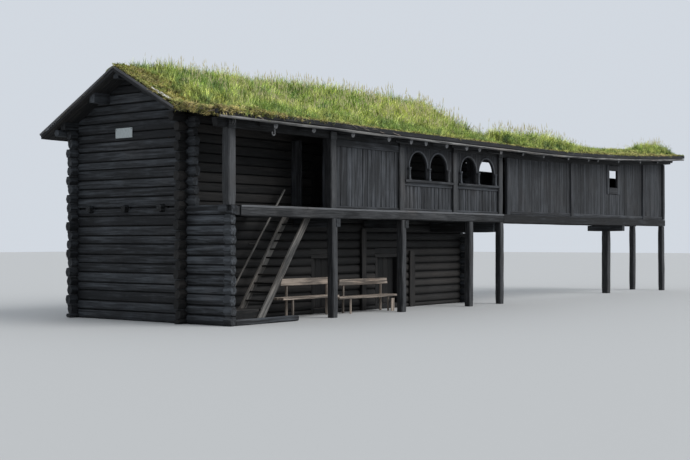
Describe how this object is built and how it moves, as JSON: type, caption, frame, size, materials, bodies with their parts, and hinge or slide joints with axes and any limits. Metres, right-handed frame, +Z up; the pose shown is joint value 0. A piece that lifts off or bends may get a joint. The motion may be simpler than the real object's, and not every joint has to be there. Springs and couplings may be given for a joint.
{
  "type": "two-storey log storehouse with gallery, covered passage and turf roof",
  "caption": "Tarred log storehouse with an arcaded upper gallery, a stair, a boarded passage on posts and a grass-grown turf roof.",
  "frame": {"origin": "middle of the model's box at ground level", "axes": "+X along the front to the right, +Y from the gallery to the rear wall, +Z up"},
  "size_m": [27.45, 6.75, 6.99],
  "materials": {
    "tarred_logs": "hewn, tarred and weathered",
    "tarred_beams": "hewn, tarred and weathered",
    "tarred_boards": "sawn, tarred and weathered",
    "weathered_planks": "weathered",
    "pale_wood": "bare, greyed",
    "turf": "mossy soil",
    "grass": "living grass"
  },
  "bodies": {
    "house": {"gable_wall_left": "tarred_logs", "gable_wall_right": "tarred_logs", "rear_wall": "tarred_logs", "front_wall_lower": "tarred_logs", "front_wall_over_doors": "tarred_logs", "front_wall_upper": "tarred_logs", "door_frames": "tarred_boards", "upper_door": "tarred_boards", "wall_planks": "weathered_planks", "ground_floor": "weathered_planks", "loft_joists": "tarred_beams", "loft_floor": "weathered_planks", "gallery_end_wall": "tarred_logs", "sill_log": "tarred_beams", "lower_posts": "tarred_beams", "floor_beam": "tarred_beams", "gallery_joists": "tarred_beams", "gallery_floor": "weathered_planks", "upper_posts": "tarred_beams", "wall_plates": "tarred_beams", "gallery_cross_wall": "tarred_boards", "gallery_panel": "tarred_boards", "arcades": "tarred_boards", "colonnettes": "tarred_boards", "parapets": "tarred_boards", "stair_strings": "weathered_planks", "stair_treads": "weathered_planks", "stair_rail": "pale_wood", "stair_block": "tarred_beams", "benches": "pale_wood", "passage_posts": "tarred_beams", "passage_beams": "tarred_beams", "passage_floor": "weathered_planks", "passage_front_wall": "tarred_boards", "passage_rear_wall": "tarred_boards", "passage_end_wall": "tarred_boards", "purlins": "tarred_beams", "rafters": "tarred_beams", "roof_boards": "weathered_planks", "barge_boards": "tarred_beams", "eave_kerbs": "tarred_beams", "turf": "turf", "grass": "grass"},
    "door_left_leaf": {"door_left": "tarred_boards"},
    "door_right_leaf": {"door_right": "tarred_boards"}
  },
  "joints": [
    {"name": "door_left_hinge", "type": "hinge", "parent": "house", "child": "door_left_leaf", "pos_m": [-7.835, -1.26, 0.83], "axis": [0, 0, 1], "range_deg": [0, 95]},
    {"name": "door_right_hinge", "type": "hinge", "parent": "house", "child": "door_right_leaf", "pos_m": [-4.885, -1.26, 0.83], "axis": [0, 0, 1], "range_deg": [0, 95]}
  ]
}
